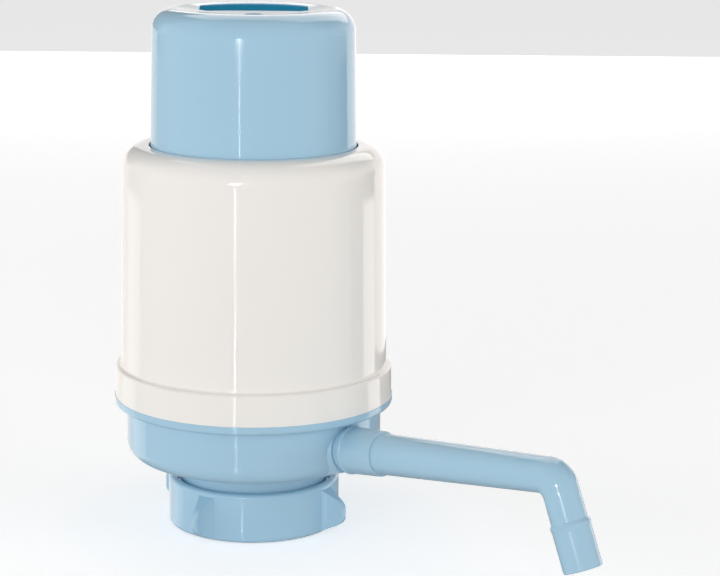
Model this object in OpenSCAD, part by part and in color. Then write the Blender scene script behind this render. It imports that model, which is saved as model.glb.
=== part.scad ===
// Hand pump for a large drinking-water bottle.
// Pressing the cap drives a piston down an air cylinder, and the air pushes water up and out of the spout.
// Origin: centre of the neck clamp's mouth. +Z: up along the pump's axis. +X: the side the spout is on.

/* [Neck clamp] */
// Bore that takes the bottle's neck, diameter
neck_bore_d = 56.2; // [54:0.2:58]
// Wall of the base's neck
neck_wall = 2.3; // [1.8:0.1:3]
// Depth of the thread band below the neck's outside
thread_depth = 1.4; // [1:0.1:2]
// Wall of the clamp ring outside its thread
ring_wall = 3.64; // [2.8:0.1:4.5]
// Height of the clamp ring
ring_h = 20.2; // [17:0.2:23]
// Ring travel up its thread, from open to tight
clamp_travel = 3; // [2:0.5:4]
// How far each finger fin stands out of the ring
fin_reach = 9.1; // [6:0.1:11]
// Thickness of a fin at its tip
fin_tip = 2.7; // [2:0.1:4]
// Number of finger fins
fin_count = 4; // [3:1:6]
// Turn of the first fin away from the spout
fin_turn = 12; // [0:1:45]
// Width of the split in the collet
collet_split = 2; // [1:0.5:4]
// Room left above the clamp ring when it is tight
ring_room = 2.2; // [1:0.1:4]

/* [Base cup] */
// Wall of the cup
cup_wall = 2.4; // [1.8:0.1:3]
// Radius between the cup's side and its underside
cup_round = 6.8; // [5:0.2:9]
// Slope of the cup's underside
underside_slope = 12; // [6:1:18]
// Height of the cup, from the neck's shoulder to the rim's lower edge
cup_h = 25.9; // [24:0.1:30]
// Height of the rim band
rim_h = 3.5; // [2.6:0.1:5]
// How far the rim stands out of the cup
rim_out = 4.8; // [4:0.1:6]

/* [Shell] */
// Wall of the shell
shell_wall = 2.2; // [1.6:0.1:2.8]
// Height of the wide skirt at the shell's foot
skirt_h = 11.8; // [9:0.2:15]
// Step in from the skirt to the wall
skirt_step = 2.1; // [1.6:0.1:2.6]
// Height from the raised piston to the top of the shell
head_h = 12.1; // [10.5:0.1:15]
// Taper of the wall, at the radius from foot to shoulder
shell_taper = 1.2; // [0.4:0.1:1.6]
// Radius of the shoulder's edge
shoulder_round = 8.5; // [6:0.2:10]
// Gap between the shell's opening and the cap
opening_gap = 0.6; // [0.4:0.1:1.2]

/* [Cap and piston] */
// Radius of the cap where it runs in the guide ring
cap_r = 41.9; // [39:0.1:43]
// Taper of the cap, at the radius from the guide to the top edge
cap_taper = 0.85; // [0.2:0.05:1.2]
// Wall of the cap
cap_wall = 2.2; // [1.6:0.1:3]
// Height of the cap that is left above the shell when it is pressed right down
cap_proud = 5.2; // [3:0.2:12]
// Radius of the cap's top edge
cap_round = 9; // [6:0.2:11]
// Depth of the dish in the cap's top
dish_depth = 2.7; // [1.5:0.1:3.5]
// Depth of the finger pocket in the cap's top
pocket_depth = 3; // [2:0.1:3.4]
// Stroke of the piston
stroke = 50; // [40:1:65]
// Height of the piston
piston_h = 12; // [11:0.5:16]
// Width of the ledge round the cap that stops the piston at the top
piston_ledge = 5.1; // [4:0.1:7]
// Wall of the air cylinder
cylinder_wall = 2; // [1.6:0.1:2.4]
// Distance from the cap's side to the middle of its screws
screw_inset = 9.9; // [8:0.1:12]
// Wall of the guide ring
guide_wall = 1.6; // [1.2:0.1:2.4]

/* [Valves and spring] */
// Radius of the valve discs
valve_r = 10.5; // [10:0.1:12]
// Thickness of the valve discs
valve_t = 1.2; // [0.8:0.1:1.6]
// Lift of the valve discs
valve_lift = 1.2; // [0.8:0.1:1.6]
// Radius of the valve ports
port_r = 1.6; // [1.2:0.1:2]
// Number of ports under each valve
port_count = 6; // [4:1:8]
// Mean radius of the return spring
spring_r = 22; // [21:0.2:25]
// Wire of the return spring
wire_d = 2.2; // [1.6:0.1:2.4]
// Turns of the return spring, with its two flat ends
spring_turns = 10; // [8:1:11]
// Height left over when the spring is pressed right down
spring_spare = 2.6; // [1:0.1:6]

/* [Spout] */
// Height of the boss's underside above the neck's shoulder, at the pump's axis
boss_lift = 0.35; // [0.1:0.05:1.1]
// Rise of the spout above level
spout_tilt = 6; // [3:0.5:7]
// Distance along the spout to its corner
spout_reach = 158.8; // [120:0.2:180]
// Radius of the water channel in the base
channel_r = 4.6; // [3.5:0.1:5]
// Wall of the collar round the spigot
collar_wall = 2.48; // [2.3:0.02:4]
// Length of the collar
collar_l = 18; // [16:0.5:26]
// Wall of the collar round the end of the spout tube
socket_wall = 1.24; // [1:0.02:1.5]
// Radius of the spout tube past the corner
tube_end_r = 7.02; // [6.6:0.02:7.6]
// Bore of the spout tube, radius
tube_bore_r = 5.4; // [4.6:0.1:5.6]
// Angle of the outlet below level
drop_angle = 67.8; // [50:1:85]
// Length from the corner to the end of the outlet
drop_l = 35.7; // [31:0.1:50]
// Radius of the sleeve on the outlet
sleeve_r = 7.5; // [7.2:0.05:9]
// Length of the sleeve on the outlet
sleeve_l = 18.6; // [14:0.2:22]
// Length of the sleeve's tapered top
sleeve_top = 3.2; // [2:0.1:5]
// Bend radius of the corner's inner side, at the tube's middle
bend_r = 9; // [8:0.2:14]
// Bend radius of the corner's fuller outer side, at the tube's middle
heel_r = 5; // [4:0.2:8]

/* [Dip tube socket] */
// Bore that takes the dip tube, radius
dip_r = 6; // [5:0.1:6.5]
// Depth of the dip tube socket
dip_depth = 7; // [5:0.2:7.4]

/* [Fits] */
// Clearance of running fits, at the radius
run_gap = 0.06; // [0.02:0.01:0.1]
// Clearance between round faces that do not touch
free_gap = 0.3; // [0.3:0.05:0.5]
// Play between the shell and what stands inside it
shell_play = 0.7; // [0.5:0.1:1.2]

/* [Hidden] */
$fn = 96;

blue = [0.60, 0.78, 0.90];
white = [0.97, 0.96, 0.93];
natural = [0.86, 0.88, 0.88];
dark_rubber = [0.16, 0.16, 0.17];
clear_rubber = [0.80, 0.80, 0.76];
steel = [0.72, 0.73, 0.75];

neck_in = neck_bore_d / 2;
neck_out = neck_in + neck_wall;
thread_r = neck_out + thread_depth;
ring_in = thread_r + run_gap;
ring_out = ring_in + ring_wall;
collet_h = 6.5;
neck_foot = collet_h + clamp_travel;
thread_top = ring_h - 3.2;
shoulder_z = ring_h + clamp_travel + ring_room;
gasket_z = shoulder_z - 3.8;
flange_z = shoulder_z - 1.4;
ledge_in = neck_in - 6.1;

rim_z = shoulder_z + cup_h;
rim_top = rim_z + rim_h;
cylinder_r = cap_r + piston_ledge;
cylinder_out = cylinder_r + cylinder_wall;
shoulder_r = cylinder_out + guide_wall + shell_play + shell_wall;
wall_r = shoulder_r + shell_taper;
skirt_top_r = wall_r + skirt_step;
skirt_r = skirt_top_r + 0.3;
rim_r = skirt_r + 0.3;
cup_r = rim_r - rim_out;
cup_in = cup_r - cup_wall;
slope_t = tan(underside_slope);
round_r = cup_r - cup_round + cup_round * sin(underside_slope);
round_z = shoulder_z + (round_r - neck_out) * slope_t;
cup_arc_z = round_z + cup_round * cos(underside_slope);
snap_in = cup_r + 0.3;
snap_r = snap_in + 1.5;

floor_t = 2.4;
floor_top = rim_top + floor_t;
closed_spring = (spring_turns + 1) * wire_d + spring_spare;
piston_bottom = floor_top + closed_spring + stroke;
piston_top = piston_bottom + piston_h;
flange_r = snap_in - free_gap;
seal_in = cup_in + 0.7;
seal_out = seal_in + 1.4;

step_z = rim_top + skirt_h;
step_round = 1.0;
shell_top = piston_top + head_h;
shoulder_arc_z = shell_top - shoulder_round;
shell_in_top = shell_top - shell_wall;

plate_t = 3;
guide_h = 4;
seal_z = piston_bottom + 4;
seal_h = 3.2;
piston_r = cylinder_r - free_gap;

cap_foot = piston_bottom + plate_t;
cap_top = shell_top + stroke + cap_proud;
cap_edge_r = cap_r - cap_taper;
cap_arc_r = cap_edge_r - cap_round;
cap_arc_z = cap_top - cap_round;
dish_h = cap_round - dish_depth;
dish_r = (cap_arc_r * cap_arc_r + dish_h * dish_h - cap_round * cap_round) / (2 * dish_depth);
dish_z = cap_top - dish_depth;
crest_a = asin(cap_arc_r / (dish_r + cap_round));
screw_circle = cap_r - screw_inset;
pocket_r = cap_arc_r - 4.65;

port_circle = valve_r - 3.5;
cage_in = valve_r + 0.7;
cage_out = cage_in + 1.8;
spring_rib = spring_r - wire_d / 2 - 0.4;

boss_r = channel_r + 4.3;
spout_z = shoulder_z + boss_lift + boss_r;
collar_r = channel_r + 2.4 + collar_wall;
tube_root_r = collar_r - socket_wall;
collar_t = cup_r + 2.4;
collar_end = collar_t + collar_l;
socket_t = collar_end - 4.5;
spigot_end = socket_t - 1.5;
spigot_r = channel_r + 2.4 - run_gap;
groove_r = channel_r + 1.1;
bend = spout_tilt + drop_angle;
bend_cut = bend_r * tan(bend / 2);
sleeve_s = drop_l - sleeve_l;
plug_r = sleeve_r - 1.1;
stub_r = dip_r + 3.4;
stub_groove_r = stub_r - 1.6;
adapter_foot = gasket_z + 0.2;

// A rectangle in the half-plane that is turned about the axis, from (r0, z0) to (r1, z1).
module band(r0, z0, r1, z1) {
    translate([r0, z0]) square([r1 - r0, z1 - z0]);
}

// A tube or disc about the axis.
module tube(r0, r1, z0, z1) {
    rotate_extrude() band(r0, z0, r1, z1);
}

// Children placed on the spout's line, with +Z along it and distance measured from the pump's axis.
module on_spout(t = 0) {
    translate([0, 0, spout_z])
    rotate([0, 90 - spout_tilt, 0])
    translate([0, 0, t])
    children();
}

// Children placed on the outlet's line, with +Z along it and distance measured from the corner.
module on_outlet(s = 0) {
    on_spout(spout_reach)
    rotate([0, bend, 0])
    translate([0, 0, s])
    children();
}

// Outline of the cup's outside, with the rounded change from side to underside.
module cup_outside() {
    polygon([[0, shoulder_z], [neck_out, shoulder_z], [round_r, round_z],
             [cup_r - cup_round, cup_arc_z], [cup_r, cup_arc_z], [cup_r, rim_top], [0, rim_top]]);
    translate([cup_r - cup_round, cup_arc_z]) circle(r = cup_round);
}

// Outline of the cup's hollow, one wall in from its outside.
module cup_hollow() {
    in_round = cup_round - cup_wall;
    foot = shoulder_z + cup_wall / cos(underside_slope);
    in_r = cup_r - cup_round + in_round * sin(underside_slope);
    in_z = cup_arc_z - in_round * cos(underside_slope);
    polygon([[0, foot], [neck_out, foot], [in_r, in_z], [cup_r - cup_round, cup_arc_z],
             [cup_in, cup_arc_z], [cup_in, rim_top + 1], [0, rim_top + 1]]);
    translate([cup_r - cup_round, cup_arc_z]) circle(r = in_round);
}

// Blue base: neck, cup, rim, the water channel across the cup and the spigot the spout turns on.
module base_housing() {
    color(blue)
    difference() {
        union() {
            rotate_extrude() {
                difference() {
                    cup_outside();
                    cup_hollow();
                    band(-1, 0, ledge_in, rim_top);
                }
                // Rim band with a rounded lower edge, and the upstand that the shell snaps over
                band(cup_in, rim_z + 1.5, rim_r, rim_top);
                band(cup_in, rim_z, rim_r - 1.5, rim_z + 2);
                translate([rim_r - 1.5, rim_z + 1.5]) circle(r = 1.5);
                band(snap_in, rim_top - 1, snap_r, rim_top + 5);
                polygon([[snap_r - 0.1, rim_top + 2.6], [snap_r + 0.4, rim_top + 3.2],
                         [snap_r + 0.4, rim_top + 3.8], [snap_r - 0.1, rim_top + 4.4]]);
                // Neck with its thread band, and the ledge over the bottle's mouth
                band(neck_in, neck_foot, neck_out, shoulder_z + 1);
                band(neck_in, neck_foot, thread_r, thread_top);
                band(ledge_in, flange_z, neck_out - 0.5, shoulder_z + 1);
            }
            // Hub over the dip tube, on three spokes across the air opening
            tube(0, stub_r + 2.5, flange_z, spout_z + channel_r + 2.4);
            for (a = [60, 180, 300])
                rotate([0, 0, a])
                translate([stub_r + 1, -1.5, flange_z]) cube([ledge_in + 0.5 - stub_r, 3, 2.6]);
            // Water channel from the hub out to the boss, flared where it leaves the cup
            on_spout() cylinder(r = boss_r, h = cup_r - 0.6);
            on_spout(cup_r - 8.6) cylinder(r = collar_r, h = 10.5);
            on_spout(cup_r - 4.6) boss_flare();
            on_spout(cup_r - 2.6) cylinder(r = collar_r - 0.9, h = 5);
            // Web between the boss and the rim
            translate([cup_r - 1, -0.6, spout_z + 12]) cube([1.6, 1.2, rim_z - spout_z - 11]);
            // Spigot with the lip that keeps the collar on
            on_spout(collar_t - 1) cylinder(r = spigot_r, h = spigot_end - collar_t + 1);
            on_spout(collar_t + 8) cylinder(r1 = spigot_r + 0.36, r2 = spigot_r, h = 1.2);
        }
        // Groove for the spout's seal
        on_spout(collar_t + 3)
        difference() {
            cylinder(r = 9 + spigot_r - 6.94, h = 2.2);
            translate([0, 0, -1]) cylinder(r = groove_r, h = 5);
        }
        // Socket for the dip tube's adapter, and the water channel
        translate([0, 0, flange_z - 1]) cylinder(r = stub_r, h = 7);
        // Undercut that holds the gasket
        tube(neck_in - 1, neck_in + 0.5, gasket_z, flange_z);
        translate([0, 0, flange_z]) cylinder(r = channel_r, h = spout_z - flange_z);
        translate([0, 0, spout_z]) sphere(r = channel_r);
        on_spout() cylinder(r = channel_r, h = spigot_end + 1);
        // Groove for the cylinder's seal
        tube(seal_in, seal_out, rim_top - 1.2, rim_top + 1);
    }
}

// Flare where the boss leaves the cup, on its sides and top.
module boss_flare() {
    intersection() {
        cylinder(r1 = collar_r + 4.1, r2 = collar_r - 0.05, h = 5.2);
        translate([-30, -20, -1]) cube([30 + collar_r - 0.5, 40, 8]);
    }
}

// Soft ring that the bottle's mouth presses against.
module neck_gasket() {
    color(clear_rubber) tube(ledge_in + 0.6, neck_in + 0.5, gasket_z, flange_z);
}

// Socket pushed into the hub from below, for the dip tube.
module tube_adapter() {
    color(natural)
    difference() {
        union() {
            tube(0, stub_r + 2.2, adapter_foot, flange_z);
            tube(0, stub_r, flange_z - 1, flange_z + 6);
        }
        translate([0, 0, adapter_foot - 1]) cylinder(r = dip_r, h = dip_depth + 1);
        translate([0, 0, adapter_foot]) cylinder(r = channel_r, h = 30);
        tube(stub_groove_r, stub_r + 1, flange_z + 2, flange_z + 4);
    }
}

// Seal in the adapter's groove.
module adapter_seal() {
    color(dark_rubber) tube(stub_groove_r, stub_r, flange_z + 2, flange_z + 4);
}

// Seal in the spigot's groove, bearing on the inside of the collar.
module spigot_seal() {
    color(dark_rubber)
    on_spout(collar_t + 3)
    rotate_extrude() translate([groove_r, 0]) square([spigot_r + 0.02 - groove_r, 2.2]);
}

// Seal between the base's rim and the cylinder's flange.
module cylinder_seal() {
    color(dark_rubber) tube(seal_in, seal_out, rim_top - 1.2, rim_top);
}

// Ports of a valve, cut through a plate.
module ports(z) {
    for (i = [0 : port_count - 1])
        rotate([0, 0, i * 360 / port_count])
        translate([port_circle, 0, z - 1])
        cylinder(r = port_r, h = 6, $fn = 32);
}

// Air cylinder with its floor, the seat of the outlet valve and the rib inside the spring.
module pump_cylinder() {
    color(natural)
    difference() {
        union() {
            tube(0, flange_r, rim_top, floor_top);
            tube(cylinder_r, cylinder_out, floor_top - 1, piston_top);
            tube(spring_rib - 1.3, spring_rib, floor_top - 1, floor_top + 2.8);
        }
        ports(rim_top);
        tube(cage_in, cage_out, rim_top - 1, rim_top + 1.2);
    }
}

// Cage that holds a valve disc under its ports: a short wall and a three-armed floor.
module cage(z) {
    low = z - valve_t - valve_lift - 2;
    tube(cage_in, cage_out, low, z + 1.2);
    tube(0, 3, low, low + 2);
    for (a = [30, 150, 270])
        rotate([0, 0, a])
        translate([0, -1.2, low])
        cube([cage_in + 0.5, 2.4, 2]);
}

// Soft disc that closes the ports above it.
module valve_disc(z) {
    tube(0, valve_r, z - valve_t, z);
}

// Outlet valve, under the cylinder's floor: opens when the cap is pressed.
module outlet_valve() {
    color(clear_rubber) valve_disc(rim_top);
}

// Cage of the outlet valve.
module outlet_cage() {
    color(natural) cage(rim_top);
}

// Return spring, wound with a flat coil at each end.
spring_foot = floor_top + wire_d / 2;
spring_head = piston_bottom - wire_d / 2;
steps_turn = 24;
spring_steps = spring_turns * steps_turn;
flat_pitch = wire_d + 0.1;
open_pitch = (spring_head - spring_foot - 2 * flat_pitch) / (spring_turns - 2);
function coil_z(n) =
    n <= 1 ? spring_foot + n * flat_pitch
    : n >= spring_turns - 1 ? spring_head - (spring_turns - n) * flat_pitch
    : spring_foot + flat_pitch + (n - 1) * open_pitch;
function coil_point(i, j) =
    let (n = i / steps_turn, a = n * 360, w = wire_d / 2, r = spring_r + w * cos(j * 45))
    [r * cos(a), r * sin(a), coil_z(n) + w * sin(j * 45)];
module return_spring() {
    points = [for (i = [0 : spring_steps]) for (j = [0 : 7]) coil_point(i, j)];
    sides = [for (i = [0 : spring_steps - 1]) for (j = [0 : 7]) for (half = [0, 1])
        let (a = i * 8 + j, b = i * 8 + (j + 1) % 8)
        half == 0 ? [a, b, b + 8] : [a, b + 8, a + 8]];
    ends = [[for (j = [7 : -1 : 0]) j], [for (j = [0 : 7]) spring_steps * 8 + j]];
    color(steel) polyhedron(points = points, faces = concat(sides, ends));
}

// Ring between cylinder and shell that guides the cap and stops the piston at the top.
module guide_ring() {
    color(natural)
    rotate_extrude() {
        band(cap_r + run_gap, piston_top, cylinder_out + guide_wall, piston_top + guide_h);
        band(cylinder_out + run_gap, piston_top - guide_h, cylinder_out + guide_wall, piston_top + 1);
        band(cap_r + 1.1, piston_top + 1, cap_r + 2.7, shell_in_top);
    }
}

// Outline of the shell's outside.
module shell_outside() {
    polygon([[0, rim_top], [skirt_r, rim_top], [skirt_top_r, step_z],
             [skirt_top_r - step_round, step_z], [skirt_top_r - step_round, step_z + step_round],
             [0, step_z + step_round]]);
    translate([skirt_top_r - step_round, step_z]) circle(r = step_round);
    difference() {
        band(wall_r - 1, step_z, wall_r + 1.1, step_z + step_round + 1.1);
        translate([wall_r + 1.1, step_z + step_round + 1.1]) circle(r = 1.1);
    }
    polygon([[0, step_z], [wall_r, step_z], [wall_r, step_z + step_round + 1.1],
             [shoulder_r, shoulder_arc_z], [shoulder_r - shoulder_round, shoulder_arc_z],
             [shoulder_r - shoulder_round, shell_top], [0, shell_top]]);
    translate([shoulder_r - shoulder_round, shoulder_arc_z]) circle(r = shoulder_round);
}

// Outline of the shell's hollow.
module shell_hollow() {
    in_round = shoulder_round - shell_wall;
    polygon([[0, rim_top - 1], [snap_r + 0.2, rim_top - 1], [snap_r + 0.2, step_z - 1.2],
             [wall_r - shell_wall, step_z - 1.2], [wall_r - shell_wall, step_z + 2],
             [shoulder_r - shell_wall, shoulder_arc_z], [shoulder_r - shoulder_round, shoulder_arc_z],
             [shoulder_r - shoulder_round, shell_in_top], [0, shell_in_top]]);
    translate([shoulder_r - shoulder_round, shoulder_arc_z]) circle(r = in_round);
    band(0, shell_in_top - 1, cap_r + opening_gap, shell_top + 1);
    band(snap_r, rim_top + 2.4, snap_r + 0.7, rim_top + 4.6);
}

// White shell: wide skirt, tapered wall and rounded shoulder round the cap.
module outer_shell() {
    color(white) {
        rotate_extrude()
        difference() {
            shell_outside();
            shell_hollow();
        }
        // Ribs that hold the cylinder's flange down
        for (a = [0 : 45 : 315])
            rotate([0, 0, a])
            translate([cylinder_out + 1.4, -0.8, floor_top])
            cube([wall_r - shell_wall - cylinder_out - 1.2, 1.6, step_z - floor_top + 6]);
    }
}

// Outline of the cap's outside, with the dish let into its top.
module cap_outside() {
    crest_r = cap_arc_r - cap_round * sin(crest_a);
    crest_z = cap_arc_z + cap_round * cos(crest_a);
    difference() {
        polygon([[0, cap_foot], [cap_r, cap_foot], [cap_r, shell_top - 2], [cap_edge_r, cap_arc_z],
                 [cap_arc_r, cap_arc_z], [crest_r, crest_z], [0, crest_z]]);
        translate([0, dish_z + dish_r]) circle(r = dish_r, $fn = 360);
    }
    translate([cap_arc_r, cap_arc_z]) circle(r = cap_round);
}

// Outline of the cap's hollow.
module cap_hollow() {
    in_round = cap_round - cap_wall;
    roof = dish_z - cap_wall;
    polygon([[0, cap_foot - 1], [cap_r - cap_wall, cap_foot - 1], [cap_r - cap_wall, shell_top - 2],
             [cap_edge_r - cap_wall, cap_arc_z - 3], [cap_arc_r, cap_arc_z - 3],
             [cap_arc_r, roof], [0, roof]]);
    translate([cap_arc_r, roof - in_round]) circle(r = in_round);
}

// Plan of the finger pocket, a crescent on the side of the top away from the user.
module pocket_plan() {
    intersection() {
        circle(r = pocket_r);
        translate([-pocket_r + 5.4, 3.5]) square([2 * pocket_r - 10.8, pocket_r]);
        difference() {
            circle(r = pocket_r + 12);
            translate([0, -13.2]) circle(r = pocket_r - 2.2);
        }
    }
}

// Blue cap that the hand presses, with posts inside for the piston's screws.
module push_cap() {
    color(blue)
    difference() {
        union() {
            rotate_extrude()
            difference() {
                cap_outside();
                cap_hollow();
            }
            // Thicker roof under the pocket
            rotate([0, 0, 45])
            translate([-pocket_r + 3.4, 0, dish_z - pocket_depth - 1.2])
            cube([2 * pocket_r - 6.8, pocket_r + 1.6, pocket_depth]);
            for (a = [30, 150, 270])
                rotate([0, 0, a])
                translate([screw_circle, 0, cap_foot])
                cylinder(r = 3.6, h = dish_z - cap_foot - 1);
        }
        rotate([0, 0, 45])
        translate([0, 0, dish_z + 0.6 - pocket_depth])
        linear_extrude(pocket_depth + 6)
        pocket_plan();
        translate([0, 0, dish_z - 0.9]) cylinder(r = 3.8, h = 4);
        for (a = [30, 150, 270])
            rotate([0, 0, a])
            translate([screw_circle, 0, cap_foot - 1])
            cylinder(r = 1.5, h = 15);
    }
}

// Piston: a plate with the intake ports and a rim that carries the seal.
module piston() {
    color(white)
    difference() {
        union() {
            tube(0, piston_r, piston_bottom, cap_foot);
            tube(cap_r + 0.05, piston_r, cap_foot - 1, piston_top);
            tube(spring_rib - 1.3, spring_rib, piston_bottom - 2.8, piston_bottom + 1);
        }
        tube(piston_r - 2.1, piston_r + 1, seal_z, seal_z + seal_h);
        ports(piston_bottom);
        tube(cage_in, cage_out, piston_bottom - 1, piston_bottom + 1.2);
        for (a = [30, 150, 270])
            rotate([0, 0, a])
            translate([screw_circle, 0, piston_bottom - 1])
            cylinder(r = 1.5, h = 6);
    }
}

// Seal ring in the piston's groove, sliding in the cylinder.
module piston_seal() {
    color(dark_rubber) tube(piston_r - 2.1, cylinder_r - run_gap, seal_z, seal_z + seal_h);
}

// Intake valve, under the piston: opens when the cap rises.
module intake_valve() {
    color(clear_rubber) valve_disc(piston_bottom);
}

// Cage of the intake valve.
module intake_cage() {
    color(natural) cage(piston_bottom);
}

// Three screws from the piston's underside into the cap's posts.
module piston_screws() {
    color(steel)
    for (a = [30, 150, 270])
        rotate([0, 0, a])
        translate([screw_circle, 0, piston_bottom])
        difference() {
            union() {
                translate([0, 0, -2]) cylinder(r = 3, h = 2);
                cylinder(r = 1.5, h = 14);
            }
            translate([-2, -0.35, -3]) cube([4, 0.7, 2.2]);
            translate([-0.35, -2, -3]) cube([0.7, 4, 2.2]);
        }
}

// Split ring with a tapered outside, drawn up by the clamp ring and squeezed on to the bottle's neck.
module clamp_collet() {
    color(natural)
    difference() {
        rotate_extrude()
        polygon([[neck_in, 0], [neck_in + 1.8, 0], [neck_in + 1.8, 1.2], [neck_in + 2.5, 1.2],
                 [thread_r - 0.5, 4.6], [thread_r - 0.5, collet_h], [neck_in, collet_h]]);
        rotate([0, 0, 90])
        translate([neck_in - 2, -collet_split / 2, -1])
        cube([8, collet_split, collet_h + 2]);
    }
}

// Plan of one fin: flanks curved in from a wide root to a round tip.
module fin_plan() {
    tip = ring_out + fin_reach;
    difference() {
        translate([ring_in + 2, -5]) square([tip - fin_tip / 2 - ring_in - 2, 10]);
        for (s = [-1, 1])
            translate([tip, s * (20 + fin_tip / 2)]) circle(r = 20);
    }
    translate([tip - fin_tip / 2, 0]) circle(r = fin_tip / 2);
}

// Side view of one fin: slanting down from under the ring's top to a round nose.
module fin_side() {
    nose_r = 6.3;
    nose = [ring_out + fin_reach - nose_r, 9.1];
    top = [ring_out - 0.3, ring_h - 1.8];
    foot = [ring_out - 0.3, 0.9];
    dt = top - nose;
    df = foot - nose;
    at = atan2(dt[1], dt[0]) - acos(nose_r / norm(dt));
    af = atan2(df[1], df[0]) + acos(nose_r / norm(df));
    polygon([[ring_in + 2, 0.9], foot, nose + (nose_r - 0.05) * [cos(af), sin(af)], nose,
             nose + (nose_r - 0.05) * [cos(at), sin(at)], top, [ring_in + 2, ring_h - 1.8]]);
    translate(nose) circle(r = nose_r);
}

// Clamp ring: threaded on the neck, with finger fins to turn it by.
module clamp_ring() {
    foot_round = 1.8;
    color(blue) {
        rotate_extrude()
        difference() {
            union() {
                band(ring_in - 4, 0, ring_out - foot_round, ring_h);
                band(ring_in - 4, foot_round, ring_out, ring_h - 1.5);
                translate([ring_out - foot_round, foot_round]) circle(r = foot_round);
                translate([ring_out - 1.5, ring_h - 1.5]) circle(r = 1.5);
            }
            polygon([[0, -1], [neck_in + 2.1, -1], [neck_in + 2.1, 1.2], [neck_in + 2.8, 1.2],
                     [ring_in, 4.5], [ring_in, thread_top + 0.6], [ring_in + 1.1, thread_top + 1.4],
                     [ring_in + 1.1, ring_h + 1], [0, ring_h + 1]]);
        }
        for (i = [0 : fin_count - 1])
            rotate([0, 0, fin_turn + i * 360 / fin_count])
            intersection() {
                linear_extrude(ring_h) fin_plan();
                translate([0, 6, 0]) rotate([90, 0, 0]) linear_extrude(12) fin_side();
            }
    }
}

// Collar that turns on the base's spigot and carries the spout tube.
module spout_collar() {
    far_r = collar_r - 0.4;
    color(blue)
    on_spout()
    rotate_extrude()
    difference() {
        union() {
            polygon([[5, collar_t], [collar_r, collar_t], [far_r, collar_end - 0.7],
                     [far_r - 0.7, collar_end], [5, collar_end]]);
            translate([collar_r - 1.0, collar_t + 1.6]) circle(r = 1.3);
            translate([far_r - 0.7, collar_end - 0.7]) circle(r = 0.7);
        }
        band(0, collar_t - 1, spigot_r + run_gap, collar_end + 1);
        band(0, collar_t + 7.8, spigot_r + 0.66, collar_t + 9.4);
        band(0, socket_t, tube_root_r, collar_end + 1);
    }
}

// Spout tube: tapered, rising from the collar and bent down at its end.
module spout_tube() {
    straight = spout_reach - bend_cut;
    heel_cut = heel_r * tan(bend / 2);
    color(blue)
    difference() {
        union() {
            on_spout(socket_t) cylinder(r = tube_root_r, h = collar_end - socket_t);
            on_spout(collar_end) cylinder(r1 = tube_root_r, r2 = tube_end_r, h = straight - collar_end);
            on_spout(straight - 1) cylinder(r = tube_end_r, h = bend_cut - heel_cut + 1.2);
            corner(tube_end_r + 0.03, bend_r);
            corner(tube_end_r + 0.03, heel_r);
            on_outlet(heel_cut - 0.2) cylinder(r = tube_end_r, h = sleeve_s - heel_cut + 0.2);
            on_outlet(sleeve_s - 1) cylinder(r = plug_r, h = sleeve_l - 4.4);
        }
        on_spout(socket_t - 1) cylinder(r = tube_bore_r, h = straight - socket_t + 1.2);
        corner(tube_bore_r + 0.03, bend_r);
        on_outlet(bend_cut - 0.2) cylinder(r = tube_bore_r, h = drop_l);
    }
}

// Part of a ring, of radius turn_r, that joins the spout's line to the outlet's line.
module corner(r, turn_r) {
    on_spout(spout_reach - turn_r * tan(bend / 2))
    translate([turn_r, 0, 0])
    rotate([90, 0, 0])
    rotate([0, 0, 180 - bend])
    rotate_extrude(angle = bend)
    intersection() {
        translate([turn_r, 0]) circle(r = r);
        translate([0, -20]) square([40, 40]);
    }
}

// Sleeve pushed over the end of the outlet.
module outlet_sleeve() {
    color(blue)
    on_outlet()
    rotate_extrude()
    difference() {
        union() {
            polygon([[0, sleeve_s], [tube_end_r + 0.1, sleeve_s], [sleeve_r + 0.35, sleeve_s + 1.2],
                     [sleeve_r, sleeve_s + sleeve_top], [sleeve_r, drop_l - 0.6], [0, drop_l - 0.6]]);
            band(0, drop_l - 0.7, sleeve_r - 0.6, drop_l);
            translate([sleeve_r - 0.6, drop_l - 0.6]) circle(r = 0.6);
        }
        band(0, sleeve_s - 1, plug_r, drop_l - 5.4);
        band(0, drop_l - 6, tube_bore_r, drop_l + 1);
    }
}

base_housing();
neck_gasket();
tube_adapter();
adapter_seal();
spigot_seal();
cylinder_seal();
pump_cylinder();
outlet_valve();
outlet_cage();
return_spring();
guide_ring();
outer_shell();
push_cap();
piston();
piston_seal();
intake_valve();
intake_cage();
piston_screws();
clamp_collet();
clamp_ring();
spout_collar();
spout_tube();
outlet_sleeve();
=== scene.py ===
"""Looks, studio and camera of a hand pump for a large drinking-water bottle."""

import logging
import math
from dataclasses import dataclass, field
from enum import Enum
from typing import Mapping, Optional, Union

import bmesh
import bpy
from mathutils import Matrix, Vector


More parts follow.
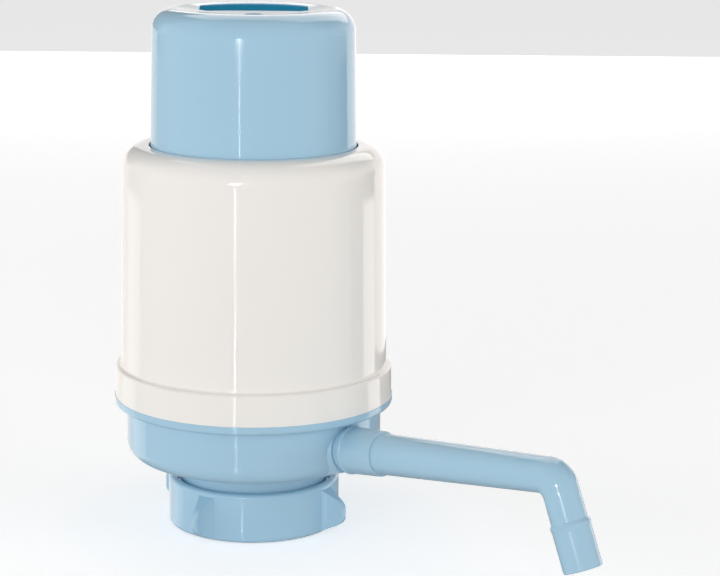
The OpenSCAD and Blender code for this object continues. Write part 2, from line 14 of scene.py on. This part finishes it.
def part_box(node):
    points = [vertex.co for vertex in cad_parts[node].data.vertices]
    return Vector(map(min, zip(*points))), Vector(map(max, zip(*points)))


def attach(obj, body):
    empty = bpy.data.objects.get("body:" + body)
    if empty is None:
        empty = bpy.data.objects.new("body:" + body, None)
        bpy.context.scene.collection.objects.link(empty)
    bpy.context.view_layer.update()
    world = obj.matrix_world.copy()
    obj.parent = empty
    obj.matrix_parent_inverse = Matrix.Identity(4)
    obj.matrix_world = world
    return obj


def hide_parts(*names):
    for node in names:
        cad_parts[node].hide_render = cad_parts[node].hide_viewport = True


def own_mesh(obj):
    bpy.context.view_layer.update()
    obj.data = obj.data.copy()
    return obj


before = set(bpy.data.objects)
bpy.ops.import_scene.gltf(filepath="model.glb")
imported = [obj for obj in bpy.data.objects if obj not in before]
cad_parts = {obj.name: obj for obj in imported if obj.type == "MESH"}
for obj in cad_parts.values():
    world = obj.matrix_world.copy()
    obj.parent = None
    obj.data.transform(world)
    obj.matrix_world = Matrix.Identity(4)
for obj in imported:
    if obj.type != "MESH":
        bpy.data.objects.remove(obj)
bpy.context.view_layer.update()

LOG = logging.getLogger("pump")
MM = 0.001

# The cap's dish: the height of its middle, its radius, and the radius that the pocket stays inside.
DISH_HEIGHT = 210.6 * MM
DISH_RADIUS = 182.6 * MM
POCKET_RADIUS = 28.0 * MM
# Depths below the dish between which the painted shade in the pocket sets in, and the depth where it ends.
POCKET_EDGE = (0.1 * MM, 0.7 * MM)
POCKET_LIMIT = 4 * MM

# The Mix node's colour comes after its number and its vector.
MIX_COLOUR = 2
# The middle of a noise value, and the steps that a pattern's shift takes along X, Y and Z.
NOISE_MIDDLE = 0.5
SHIFT_STEPS = (1.0, 1.7, 2.3)

Colour = tuple[float, float, float]
Range = tuple[float, float]
Operand = Union["Signal", int, float]


class Pattern(Enum):
    """Noise of the finishes: size of its lumps along X, Y and Z in metres, detail, and shift."""

    FLOW = ((0.06, 0.06, 0.14), 3.0, 0.0)
    GRAIN = ((0.0011, 0.0011, 0.0011), 2.0, 3.0)
    PEEL = ((0.005, 0.005, 0.014), 1.0, 5.0)
    RUBBED = ((0.012, 0.012, 0.03), 4.0, 7.0)
    HAIRS = ((0.0003, 0.0003, 0.009), 3.0, 11.0)
    DUST = ((0.004, 0.004, 0.004), 5.0, 0.0)
    PORES = ((0.0004, 0.0004, 0.0004), 3.0, 2.0)
    DRAWN = ((0.003, 0.003, 0.0002), 3.0, 0.0)
    STAIN = ((0.008, 0.008, 0.008), 3.0, 4.0)


class Signal:
    """One output of a shader graph. Arithmetic on it adds Math nodes."""

    def __init__(self, graph: "Graph", socket: bpy.types.NodeSocket) -> None:
        """Wraps a socket.

        Args:
            graph: the graph that the socket is in.
            socket: the output socket.
        """
        self.graph = graph
        self.socket = socket

    def _math(self, operation: str, *operands: Operand) -> "Signal":
        """Adds a Math node.

        Args:
            operation: the node's operation.
            operands: what goes into its sockets, in order.

        Returns:
            The node's result.
        """
        made = self.graph.node("ShaderNodeMath", {"operation": operation}, dict(enumerate(operands)))
        return Signal(self.graph, made.outputs[0])

    def __add__(self, other: Operand) -> "Signal":
        """This plus the other."""
        return self._math("ADD", self, other)

    def __radd__(self, other: Operand) -> "Signal":
        """The other plus this."""
        return self._math("ADD", other, self)

    def __sub__(self, other: Operand) -> "Signal":
        """This minus the other."""
        return self._math("SUBTRACT", self, other)

    def __rsub__(self, other: Operand) -> "Signal":
        """The other minus this."""
        return self._math("SUBTRACT", other, self)

    def __mul__(self, other: Operand) -> "Signal":
        """This times the other."""
        return self._math("MULTIPLY", self, other)

    def __rmul__(self, other: Operand) -> "Signal":
        """The other times this."""
        return self._math("MULTIPLY", other, self)

    def __truediv__(self, other: Operand) -> "Signal":
        """This divided by the other."""
        return self._math("DIVIDE", self, other)

    def __rtruediv__(self, other: Operand) -> "Signal":
        """The other divided by this."""
        return self._math("DIVIDE", other, self)

    def __lt__(self, other: Operand) -> "Signal":
        """1 where this is less than the other."""
        return self._math("LESS_THAN", self, other)

    def __gt__(self, other: Operand) -> "Signal":
        """1 where this is greater than the other."""
        return self._math("GREATER_THAN", self, other)

    def __or__(self, other: Operand) -> "Signal":
        """The greater of the two."""
        return self._math("MAXIMUM", self, other)

    def __abs__(self) -> "Signal":
        """This without its sign."""
        return self._math("ABSOLUTE", self)

    def fade(self, low: float, high: float) -> "Signal":
        """A smooth step.

        Args:
            low: the value at which the step starts.
            high: the value at which it ends.

        Returns:
            0 below low and 1 above high.
        """
        sockets = {"Value": self, "From Min": low, "From Max": high}
        made = self.graph.node("ShaderNodeMapRange", {"interpolation_type": "SMOOTHSTEP"}, sockets)
        return Signal(self.graph, made.outputs["Result"])

    def blend(self, first: Union["Signal", Colour], second: Colour) -> "Signal":
        """A mix of two colours by this value.

        Args:
            first: the colour at 0.
            second: the colour at 1.

        Returns:
            The mixed colour.
        """
        start = first if isinstance(first, Signal) else (*first, 1.0)
        sockets = {"Factor": self, "A": start, "B": (*second, 1.0)}
        made = self.graph.node("ShaderNodeMix", {"data_type": "RGBA"}, sockets)
        return Signal(self.graph, made.outputs[MIX_COLOUR])


class Graph:
    """The node tree of a material or of the world."""

    def __init__(self, tree: bpy.types.NodeTree) -> None:
        """Starts from an empty tree.

        Args:
            tree: the tree to fill.
        """
        self.tree = tree
        tree.nodes.clear()

    def node(
        self,
        kind: str,
        settings: Optional[Mapping[str, object]] = None,
        sockets: Optional[Mapping[Union[str, int], object]] = None,
    ) -> bpy.types.Node:
        """Adds any node.

        Args:
            kind: the node's type.
            settings: its properties, set before its sockets.
            sockets: a value or a Signal for each input, by name or by number.

        Returns:
            The node.
        """
        made = self.tree.nodes.new(kind)
        for name, value in (settings or {}).items():
            setattr(made, name, value)
        for name, value in (sockets or {}).items():
            target = self._input(made, name)
            if isinstance(value, Signal):
                self.tree.links.new(value.socket, target)
            else:
                target.default_value = value
        return made

    @staticmethod
    def _input(made: bpy.types.Node, name: Union[str, int]) -> bpy.types.NodeSocket:
        """Finds an input that is in use.

        Args:
            made: the node.
            name: the input's name or number.

        Returns:
            The input socket.
        """
        if isinstance(name, int):
            return made.inputs[name]
        return next(s for s in made.inputs if s.name == name and s.enabled)

    def signal(self, made: bpy.types.Node, output: Union[str, int] = 0) -> Signal:
        """Wraps an output.

        Args:
            made: the node.
            output: the output's name or number.

        Returns:
            The wrapped output.
        """
        return Signal(self, made.outputs[output])

    def place(self) -> Signal:
        """The place on the part, in metres."""
        return self.signal(self.node("ShaderNodeTexCoord"), "Object")

    def parts(self, vector: Signal) -> tuple[Signal, Signal, Signal]:
        """Splits a vector.

        Args:
            vector: the vector.

        Returns:
            Its X, Y and Z.
        """
        made = self.node("ShaderNodeSeparateXYZ", None, {0: vector})
        return self.signal(made, 0), self.signal(made, 1), self.signal(made, 2)

    def noise(self, pattern: Pattern, seed: float = 0.0) -> Signal:
        """Noise of a real size.

        Args:
            pattern: its size, detail and shift.
            seed: a further shift that sets the piece apart from others.

        Returns:
            Its value, about 0.3 to 0.7.
        """
        size, detail, shift = pattern.value
        sockets = {
            "Vector": self.place(),
            "Location": tuple((seed + shift) * step for step in SHIFT_STEPS),
            "Scale": tuple(1.0 / side for side in size),
        }
        mapped = self.signal(self.node("ShaderNodeMapping", {"vector_type": "POINT"}, sockets))
        made = self.node("ShaderNodeTexNoise", None, {"Vector": mapped, "Scale": 1.0, "Detail": detail})
        return self.signal(made, 0)

    def bump(self, height: Signal, depth: float) -> Signal:
        """A bumped normal.

        Args:
            height: the height, where 1 stands out by depth.
            depth: the depth, in metres.

        Returns:
            The normal.
        """
        made = self.node("ShaderNodeBump", None, {"Height": height, "Distance": depth, "Strength": 1.0})
        return self.signal(made)

    def finish(self, shader: bpy.types.Node, kind: str = "ShaderNodeOutputMaterial") -> None:
        """Leads a shader to the output.

        Args:
            shader: the last shader node.
            kind: the output node's type.
        """
        self.node(kind, None, {"Surface": self.signal(shader)})


def new_material(name: str) -> tuple[bpy.types.Material, Graph]:
    """Makes an empty material.

    Args:
        name: its name.

    Returns:
        The material and its graph.
    """
    material = bpy.data.materials.new(name)
    material.use_nodes = True
    return material, Graph(material.node_tree)


def sheet(name: str, size: tuple[float, float], material: bpy.types.Material) -> bpy.types.Object:
    """Makes a flat rectangle about its own origin.

    Args:
        name: its name.
        size: its sides along X and Y, in metres.
        material: its material.

    Returns:
        The rectangle, not yet linked to the scene.
    """
    mesh = bpy.data.meshes.new(name)
    mesh.materials.append(material)
    half_x, half_y = (side / 2 for side in size)
    corners = ((-half_x, -half_y), (half_x, -half_y), (half_x, half_y), (-half_x, half_y))
    work = bmesh.new()
    work.faces.new([work.verts.new((x, y, 0.0)) for x, y in corners])
    work.to_mesh(mesh)
    work.free()
    return bpy.data.objects.new(name, mesh)


@dataclass(frozen=True)
class Moulded:
    """Injection-moulded plastic: polished, with a faint peel, flow in its colour and handling marks.

    Attributes:
        name: the material's name.
        colour: the plastic's own colour.
        deep: the colour where the pigment flowed denser.
        roughness: roughness of the polished skin.
        peel: depth of the peel, in metres.
        pocket_shade: a deeper colour painted into the cap's pocket and dimple as shade.
        seam: half-width of the mould's parting line in the plane of the spout, in metres, or 0.
        seed: number that sets the pattern apart from other pieces'.
        flow_gain: how strongly the flow shows in the colour.
        grain_gain: how strongly the grain shows in the colour.
        deep_share: share of the deep colour where flow and grain are at their middle.
        rubbed_at: noise values between which handling has rubbed the skin.
        hairs_at: noise values between which a hair scratch shows.
        rubbed_rough: roughness that rubbing adds.
        hair_rough: roughness that hair scratches add where the skin is rubbed.
        grain_height: height of the grain, in peels.
        seam_height: height of the parting line, in peels.
    """

    name: str
    colour: Colour
    deep: Colour
    roughness: float = 0.08
    peel: float = 0.012 * MM
    pocket_shade: Optional[Colour] = None
    seam: float = 0.0
    seed: float = 0.0
    flow_gain: float = 1.3
    grain_gain: float = 0.25
    deep_share: float = 0.35
    rubbed_at: Range = (0.52, 0.72)
    hairs_at: Range = (0.6, 0.75)
    rubbed_rough: float = 0.05
    hair_rough: float = 0.08
    grain_height: float = 0.06
    seam_height: float = 3.0

    def make(self) -> bpy.types.Material:
        """Builds the material.

        Returns:
            The material.
        """
        material, graph = new_material(self.name)
        grain = graph.noise(Pattern.GRAIN, self.seed)
        flow = (graph.noise(Pattern.FLOW, self.seed) - NOISE_MIDDLE) * self.flow_gain
        deep = flow + (grain - NOISE_MIDDLE) * self.grain_gain + self.deep_share
        base = deep.fade(0.0, 1.0).blend(self.colour, self.deep)
        # Painted shade: the cap's pocket and dimple take a deeper colour.
        if self.pocket_shade:
            base = self.pocket_shade_mask(graph).blend(base, self.pocket_shade)
        rubbed = graph.noise(Pattern.RUBBED, self.seed).fade(*self.rubbed_at)
        hairs = graph.noise(Pattern.HAIRS, self.seed).fade(*self.hairs_at)
        height = graph.noise(Pattern.PEEL, self.seed) + grain * self.grain_height
        if self.seam:
            height = height + self.parting(graph) * self.seam_height
        sockets = {
            "Base Color": base,
            "Roughness": self.roughness + rubbed * self.rubbed_rough + hairs * rubbed * self.hair_rough,
            "Normal": graph.bump(height, self.peel),
            "IOR": 1.5,
        }
        graph.finish(graph.node("ShaderNodeBsdfPrincipled", None, sockets))
        return material

    @staticmethod
    def pocket_shade_mask(graph: Graph) -> Signal:
        """Where the shade is painted: the pocket and the dimple that are let into the dish of the cap's
        top.

        Args:
            graph: the material's graph.

        Returns:
            1 in them and 0 on the dish.
        """
        x, y, z = graph.parts(graph.place())
        dish = (x * x + y * y) * (0.5 / DISH_RADIUS) + DISH_HEIGHT
        depth = (dish - z).fade(*POCKET_EDGE)
        return depth * (z > DISH_HEIGHT - POCKET_LIMIT) * (x * x + y * y < POCKET_RADIUS ** 2)

    def parting(self, graph: Graph) -> Signal:
        """The line that the mould's halves leave, in the plane of the spout.

        Args:
            graph: the material's graph.

        Returns:
            1 on the line and 0 off it.
        """
        _, y, _ = graph.parts(graph.place())
        return 1.0 - abs(y).fade(self.seam * 0.5, self.seam)


@dataclass(frozen=True)
class Rubber:
    """Soft moulded rubber: matt, with a fine bloom.

    Attributes:
        name: the material's name.
        colour: the rubber's colour.
        bloom: the colour of the dust on it.
        roughness: its roughness.
        bloom_at: noise values between which the bloom shows.
        bloom_rough: how strongly the bloom changes the roughness.
        pores: depth of the pores, in metres.
    """

    name: str
    colour: Colour
    bloom: Colour
    roughness: float = 0.6
    bloom_at: Range = (0.45, 0.8)
    bloom_rough: float = 0.3
    pores: float = 0.03 * MM

    def make(self) -> bpy.types.Material:
        """Builds the material.

        Returns:
            The material.
        """
        material, graph = new_material(self.name)
        dust = graph.noise(Pattern.DUST)
        sockets = {
            "Base Color": dust.fade(*self.bloom_at).blend(self.colour, self.bloom),
            "Roughness": self.roughness + (dust - NOISE_MIDDLE) * self.bloom_rough,
            "Normal": graph.bump(graph.noise(Pattern.PORES), self.pores),
        }
        graph.finish(graph.node("ShaderNodeBsdfPrincipled", None, sockets))
        return material


@dataclass(frozen=True)
class Steel:
    """Drawn stainless wire and screw steel, with fine draw lines.

    Attributes:
        name: the material's name.
        colour: the steel's colour.
        roughness: its roughness.
        stain_shade: the stains' colour as a share of the steel's.
        stain_at: noise values between which a stain shows.
        line_rough: how strongly the draw lines change the roughness.
        lines: depth of the draw lines, in metres.
    """

    name: str
    colour: Colour
    roughness: float = 0.26
    stain_shade: float = 0.8
    stain_at: Range = (0.4, 0.7)
    line_rough: float = 0.2
    lines: float = 0.01 * MM

    def make(self) -> bpy.types.Material:
        """Builds the material.

        Returns:
            The material.
        """
        material, graph = new_material(self.name)
        drawn = graph.noise(Pattern.DRAWN)
        stained = tuple(c * self.stain_shade for c in self.colour)
        sockets = {
            "Base Color": graph.noise(Pattern.STAIN).fade(*self.stain_at).blend(self.colour, stained),
            "Metallic": 1.0,
            "Roughness": self.roughness + (drawn - NOISE_MIDDLE) * self.line_rough,
            "Normal": graph.bump(drawn, self.lines),
        }
        graph.finish(graph.node("ShaderNodeBsdfPrincipled", None, sockets))
        return material


# Colours of the plastics, in linear light.
SKY = (0.38, 0.595, 0.745)
SKY_DEEP = (0.355, 0.575, 0.73)
# A deeper blue painted into the cap's pocket and dimple as shade.
SKY_POCKET_SHADE = (0.03, 0.30, 0.48)
CREAM = (0.90, 0.87, 0.83)
CREAM_DEEP = (0.885, 0.85, 0.80)
MILKY = (0.76, 0.78, 0.77)
MILKY_DEEP = (0.70, 0.73, 0.72)


class Finish(Enum):
    """The finishes of the pump's pieces."""

    BASE = Moulded("sky_blue_base", SKY, SKY_DEEP, seam=0.12 * MM, seed=1.0)
    # The cap's pocket and dimple get painted shade.
    CAP = Moulded("sky_blue_cap", SKY, SKY_DEEP, pocket_shade=SKY_POCKET_SHADE, seed=2.0)
    CLAMP = Moulded("sky_blue_clamp", SKY, SKY_DEEP, roughness=0.12, seed=3.0)
    SPOUT = Moulded("sky_blue_spout", SKY, SKY_DEEP, roughness=0.12, seed=4.0)
    SHELL = Moulded("cream_shell", CREAM, CREAM_DEEP, seed=5.0)
    PISTON = Moulded("cream_piston", CREAM, CREAM_DEEP, roughness=0.3, seed=6.0)
    NATURAL = Moulded("natural_plastic", MILKY, MILKY_DEEP, roughness=0.34, seed=7.0)
    BLACK_SEAL = Rubber("black_seal", (0.022, 0.022, 0.024), (0.05, 0.05, 0.052))
    CLEAR_SEAL = Rubber("clear_seal", (0.62, 0.62, 0.56), (0.70, 0.70, 0.66), roughness=0.45)
    STEEL = Steel("bright_steel", (0.62, 0.62, 0.63))

    def material(self) -> bpy.types.Material:
        """The finish's material, built once.

        Returns:
            The material.
        """
        return bpy.data.materials.get(self.value.name) or self.value.make()


def dress(node: str, finish: Finish) -> None:
    """Gives a CAD node its finish.

    Args:
        node: the node's name.
        finish: its finish.
    """
    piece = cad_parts[node]
    material = finish.material()
    if not piece.data.materials:
        piece.data.materials.append(material)
    for slot in piece.material_slots:
        slot.material = material
    LOG.info("%s: %s", node, material.name)


@dataclass
class SubAssembly:
    """Pieces that belong together, each with its finish.

    Attributes:
        finishes: the finish of each node.
    """

    finishes: dict[str, Finish] = field(default_factory=dict)

    def dress(self) -> None:
        """Gives every node of the sub-assembly its finish."""
        for node, finish in self.finishes.items():
            dress(node, finish)


@dataclass
class Base(SubAssembly):
    """The blue base with its neck, channel and seals."""

    finishes: dict[str, Finish] = field(default_factory=lambda: {
        "base_housing": Finish.BASE,
        "neck_gasket": Finish.CLEAR_SEAL,
        "tube_adapter": Finish.NATURAL,
        "adapter_seal": Finish.BLACK_SEAL,
        "spigot_seal": Finish.BLACK_SEAL,
        "cylinder_seal": Finish.BLACK_SEAL,
    })


@dataclass
class Cylinder(SubAssembly):
    """The air cylinder, its outlet valve and guide, inside the cream shell."""

    finishes: dict[str, Finish] = field(default_factory=lambda: {
        "pump_cylinder": Finish.NATURAL,
        "outlet_valve": Finish.CLEAR_SEAL,
        "outlet_cage": Finish.NATURAL,
        "guide_ring": Finish.NATURAL,
        "outer_shell": Finish.SHELL,
    })


@dataclass
class Plunger(SubAssembly):
    """The cap and piston with the intake valve."""

    finishes: dict[str, Finish] = field(default_factory=lambda: {
        "push_cap": Finish.CAP,
        "piston": Finish.PISTON,
        "piston_seal": Finish.BLACK_SEAL,
        "intake_valve": Finish.CLEAR_SEAL,
        "intake_cage": Finish.NATURAL,
        "piston_screws": Finish.STEEL,
    })


@dataclass
class Clamp(SubAssembly):
    """The split collet and the finned ring that grip the bottle's neck."""

    finishes: dict[str, Finish] = field(default_factory=lambda: {
        "clamp_collet": Finish.NATURAL,
        "clamp_ring": Finish.CLAMP,
    })


@dataclass
class Spout(SubAssembly):
    """The swivelling collar, the bent tube and its sleeve."""

    finishes: dict[str, Finish] = field(default_factory=lambda: {
        "spout_collar": Finish.SPOUT,
        "spout_tube": Finish.SPOUT,
        "outlet_sleeve": Finish.SPOUT,
    })


@dataclass
class ReturnSpring:
    """The return spring, a round wire with a flat coil at each end.

    Attributes:
        radius: mean radius of the coils, in metres.
        wire: diameter of the wire.
        turns: number of turns.
        rings: rings of faces in a turn.
        sides: faces round the wire.
        stroke: how far the piston presses the spring.
        flat_pitch: pitch of the flat coils at its ends, in wires.
    """

    radius: float = 22 * MM
    wire: float = 2.2 * MM
    turns: int = 10
    rings: int = 40
    sides: int = 12
    # stroke: how far the piston presses the spring; not used.
    stroke: float = 50 * MM
    flat_pitch: float = 1.045

    def height(self, turn: float, low: float, high: float) -> float:
        """Height of the wire's middle.

        Args:
            turn: turns from the foot.
            low: height of the spring's foot.
            high: height of its head.

        Returns:
            The height.
        """
        foot, head = low + self.wire / 2, high - self.wire / 2
        flat = self.wire * self.flat_pitch
        pitch = (head - foot - 2 * flat) / (self.turns - 2)
        if turn <= 1:
            return foot + turn * flat
        if turn >= self.turns - 1:
            return head - (self.turns - turn) * flat
        return foot + flat + (turn - 1) * pitch

    def build(self) -> bpy.types.Object:
        """Builds the spring in place of its CAD node.

        Returns:
            The spring.
        """
        low, high = (corner.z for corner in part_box("return_spring"))
        mesh = bpy.data.meshes.new("coiled_spring")
        work = bmesh.new()
        rings = []
        for step in range(self.turns * self.rings + 1):
            turn = step / self.rings
            across = Vector((math.cos(turn * math.tau), math.sin(turn * math.tau), 0.0))
            middle = across * self.radius + Vector((0.0, 0.0, self.height(turn, low, high)))
            rings.append([
                work.verts.new(middle + self.wire / 2 * (
                    across * math.cos(side * math.tau / self.sides)
                    + Vector((0.0, 0.0, math.sin(side * math.tau / self.sides)))
                ))
                for side in range(self.sides)
            ])
        for near, far in zip(rings, rings[1:]):
            for side in range(self.sides):
                after = (side + 1) % self.sides
                work.faces.new((near[side], near[after], far[after], far[side])).smooth = True
        work.faces.new(rings[0])
        work.faces.new(rings[-1])
        bmesh.ops.recalc_face_normals(work, faces=work.faces)
        work.to_mesh(mesh)
        work.free()
        spring = bpy.data.objects.new("coiled_spring", mesh)
        bpy.context.scene.collection.objects.link(spring)
        mesh.materials.append(Finish.STEEL.material())
        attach(spring, "base")
        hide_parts("return_spring")
        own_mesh(spring)
        LOG.info("coiled_spring: %d turns", self.turns)
        return spring


@dataclass
class PhotoCamera:
    """The photograph's camera, in front of the pump between -Y and the side of the spout.

    Attributes:
        distance: distance from the pump's axis, in metres.
        height: height above the floor.
        turn: turn of the camera's side of the pump from -Y towards +X, in degrees.
        yaw: aim to the right of the axis, in degrees.
        pitch: aim below level, in degrees.
        roll: clockwise turn of the picture, in degrees.
        focal: focal length, in pixels.
        width: width of the picture that focal is for, in pixels.
        sensor: width of the sensor, in millimetres.
    """

    distance: float = 0.9
    height: float = 0.2909
    turn: float = 45.0
    yaw: float = 2.78
    pitch: float = 12.06
    roll: float = 0.57
    focal: float = 2234.9
    width: float = 720.0
    sensor: float = 36.0

    def build(self) -> bpy.types.Object:
        """Makes the camera.

        Returns:
            The camera.
        """
        data = bpy.data.cameras.new("photo_camera")
        data.sensor_width = self.sensor
        data.lens = self.focal * self.sensor / self.width
        camera = bpy.data.objects.new("photo_camera", data)
        bpy.context.scene.collection.objects.link(camera)
        yaw, pitch, roll = (math.radians(a) for a in (self.yaw, self.pitch, self.roll))
        ahead = Vector((math.sin(yaw) * math.cos(pitch), math.cos(yaw) * math.cos(pitch), -math.sin(pitch)))
        right = Vector((math.cos(yaw), -math.sin(yaw), 0.0))
        up = right.cross(ahead)
        tilted_right = right * math.cos(roll) + up * math.sin(roll)
        tilted_up = up * math.cos(roll) - right * math.sin(roll)
        axes = Matrix((tilted_right, tilted_up, -ahead)).transposed()
        spin = Matrix.Rotation(math.radians(self.turn), 3, "Z")
        place = spin @ Vector((0.0, -self.distance, self.height))
        camera.matrix_world = Matrix.Translation(place) @ (spin @ axes).to_4x4()
        bpy.context.scene.camera = camera
        LOG.info("photo_camera: %.1f mm", data.lens)
        return camera


class Use(Enum):
    """What a panel of the studio is for."""

    LIGHT = "a lamp that lights the pump and doesn't show in its gloss"
    SHINE = "a lamp that only shows in the pump's gloss"
    BOARD = "a board that only shows in the pump's gloss"


@dataclass(frozen=True)
class Lamp:
    """One flat panel of the studio.

    Attributes:
        name: its name.
        bearing: its side of the pump, in degrees from the camera's side towards the camera's right.
        distance: its distance from the pump's axis, in metres.
        height: height of its middle above the floor.
        size: its width and height.
        level: its brightness, where 1 is white.
        use: what it is for.
        aim: the height that it points at.
        colour: its colour.
    """

    name: str
    bearing: float
    distance: float
    height: float
    size: tuple[float, float]
    level: float
    use: Use = Use.LIGHT
    aim: float = 0.11
    colour: Colour = (1.0, 1.0, 1.0)

    def build(self, turn: float) -> None:
        """Makes the panel.

        Args:
            turn: turn of the camera's side of the pump, in degrees.
        """
        panel = self.board() if self.use is Use.BOARD else self.lamp()
        bpy.context.scene.collection.objects.link(panel)
        angle = math.radians(self.bearing + turn)
        panel.location = (math.sin(angle) * self.distance, -math.cos(angle) * self.distance, self.height)
        back = panel.location - Vector((0.0, 0.0, self.aim))
        panel.rotation_euler = back.to_track_quat("Z", "Y").to_euler()
        panel.visible_camera = False
        panel.visible_diffuse = self.use is Use.LIGHT
        panel.visible_glossy = self.use is not Use.LIGHT
        LOG.info("%s: level %.2f", self.name, self.level)

    def lamp(self) -> bpy.types.Object:
        """A lamp of even brightness.

        Returns:
            The lamp.
        """
        data = bpy.data.lights.new(self.name, "AREA")
        data.shape = "RECTANGLE"
        data.size, data.size_y = self.size
        data.energy = self.level * math.pi * self.size[0] * self.size[1]
        data.color = self.colour
        return bpy.data.objects.new(self.name, data)

    def board(self) -> bpy.types.Object:
        """A board of even brightness, which throws no shadow.

        Returns:
            The board.
        """
        material, graph = new_material(self.name)
        light = {"Color": (*self.colour, 1.0), "Strength": self.level}
        graph.finish(graph.node("ShaderNodeEmission", None, light))
        board = sheet(self.name, self.size, material)
        board.visible_shadow = False
        return board


WARM = (1.0, 0.94, 0.90)
BLUSH = (1.0, 0.93, 0.91)


@dataclass
class Studio:
    """The white floor, the white surroundings, the lamps and the boards.

    Attributes:
        fill: level of the light from all round.
        overhead: sine of the heights between which the fill grows weaker.
        overhead_loss: share of the fill that is missing straight overhead.
        open_side: the side whose opposite the gloss shows darker, in degrees from the camera's side.
        behind: cosine of the bearing between full darkening and none.
        above: sine of the heights between which the darkening sets in over the boards.
        below: sine of the depths between which it sets in under them.
        dimming: how much darker the gloss shows it.
        floor_size: side of the floor, in metres.
        floor_drop: how far the floor lies below the clamp ring's lower edge.
        floor_colour: the floor's white as the lamps light it.
        floor_glow: the part of the floor's white that the shadow doesn't touch.
        lamps: the lamps and the boards.
    """

    fill: float = 0.62
    overhead: Range = (0.1, 0.8)
    overhead_loss: float = 0.55
    open_side: float = -16.0
    behind: Range = (-0.45, 0.1)
    above: Range = (0.3, 0.5)
    below: Range = (0.03, 0.12)
    dimming: float = 0.65
    floor_size: float = 8.0
    floor_drop: float = 0.3 * MM
    floor_colour: float = 0.8
    floor_glow: float = 0.5
    lamps: tuple[Lamp, ...] = (
        Lamp("key_box", -20.0, 1.7, 0.3, (1.8, 1.0), 2.5),
        Lamp("right_box", 66.0, 1.5, 0.3, (1.2, 1.0), 2.0),
        Lamp("left_box", -86.0, 1.5, 0.3, (1.2, 1.0), 1.9),
        Lamp("rear_box", 178.0, 1.8, 0.3, (1.8, 1.0), 1.25),
        Lamp("strip", -15.4, 0.95, -0.21, (0.006, 0.76), 28.0, Use.SHINE),
        Lamp("spot", -15.4, 1.0, 0.19, (0.15, 0.08), 30.0, Use.SHINE),
        Lamp("back_right", 149.0, 0.5, 0.13, (0.46, 0.34), 1.55, Use.BOARD, 0.13, BLUSH),
        Lamp("back_left", -156.0, 0.5, 0.03, (0.404, 0.54), 1.2, Use.BOARD, 0.03, WARM),
        Lamp("far_back", 172.0, 1.5, 0.38, (1.3, 0.76), 1.1, Use.BOARD, 0.2, WARM),
        Lamp("top_back", 168.0, 0.305, 0.527, (0.56, 0.54), 2.6, Use.BOARD, 0.21, WARM),
        Lamp("flag_back", -146.0, 0.4, 0.34, (0.30, 0.30), 0.35, Use.BOARD, 0.2),
        Lamp("flag_right", 114.0, 0.5, 0.108, (0.176, 0.086), 0.1, Use.BOARD, 0.1),
        Lamp("flag_left", -122.0, 0.5, 0.108, (0.22, 0.086), 0.8, Use.BOARD, 0.1),
        Lamp("side_right", 114.0, 0.5, -0.09, (0.176, 0.31), 2.2, Use.BOARD, 0.0, WARM),
        Lamp("side_left", -122.0, 0.5, -0.09, (0.22, 0.31), 1.6, Use.BOARD, 0.0),
    )

    def seen(self, graph: Graph) -> Signal:
        """Where the studio shows its white: straight on, in gloss and through clear things.

        Args:
            graph: the graph it is for.

        Returns:
            1 there and 0 for light on the pump.
        """
        path = graph.node("ShaderNodeLightPath")
        straight = graph.signal(path, "Is Camera Ray")
        return straight | graph.signal(path, "Is Glossy Ray") | graph.signal(path, "Is Transmission Ray")

    def surround(self, turn: float) -> None:
        """White surroundings, which the gloss shows darker behind the pump, over and under the boards.

        Args:
            turn: turn of the camera's side of the pump, in degrees.
        """
        world = bpy.data.worlds.new("white_studio")
        world.use_nodes = True
        bpy.context.scene.world = world
        graph = Graph(world.node_tree)
        x, y, z = graph.parts(graph.signal(graph.node("ShaderNodeTexCoord"), "Generated"))
        angle = math.radians(turn + self.open_side)
        ahead = x * math.sin(angle) - y * math.cos(angle)
        gloss = graph.signal(graph.node("ShaderNodeLightPath"), "Is Glossy Ray")
        seen = self.seen(graph)
        light = (1.0 - z.fade(*self.overhead) * self.overhead_loss) * self.fill
        past_boards = z.fade(*self.above) + (0.0 - z).fade(*self.below)
        dark = (1.0 - ahead.fade(*self.behind)) * past_boards * self.dimming
        level = seen + (1.0 - seen) * light - gloss * dark
        sky = graph.node("ShaderNodeBackground", None, {"Color": (1.0, 1.0, 1.0, 1.0), "Strength": level})
        graph.finish(sky, "ShaderNodeOutputWorld")

    def floor(self) -> None:
        """The floor, white with the pump's soft shadow."""
        material, graph = new_material("studio_white")
        paint = graph.node("ShaderNodeBsdfDiffuse", None, {"Color": (*[self.floor_colour] * 3, 1.0)})
        glow = graph.node("ShaderNodeEmission", None, {"Strength": self.seen(graph) * self.floor_glow})
        both = graph.node("ShaderNodeAddShader", None, {0: graph.signal(paint), 1: graph.signal(glow)})
        graph.finish(both)
        floor = sheet("studio_floor", (self.floor_size, self.floor_size), material)
        floor.location.z = -self.floor_drop
        floor.visible_glossy = False
        bpy.context.scene.collection.objects.link(floor)

    def build(self, turn: float) -> None:
        """Makes the studio.

        Args:
            turn: turn of the camera's side of the pump, in degrees.
        """
        self.surround(turn)
        self.floor()
        for lamp in self.lamps:
            lamp.build(turn)
        bpy.context.scene.view_settings.view_transform = "Standard"


def main() -> None:
    """Builds the camera, the studio and the looks of every piece."""
    logging.basicConfig(level=logging.INFO, format="%(name)s %(message)s")
    camera = PhotoCamera()
    camera.build()
    Studio().build(camera.turn)
    for assembly in (Base(), Cylinder(), Plunger(), Clamp(), Spout()):
        assembly.dress()
    ReturnSpring().build()


if __name__ == "__main__":
    main()
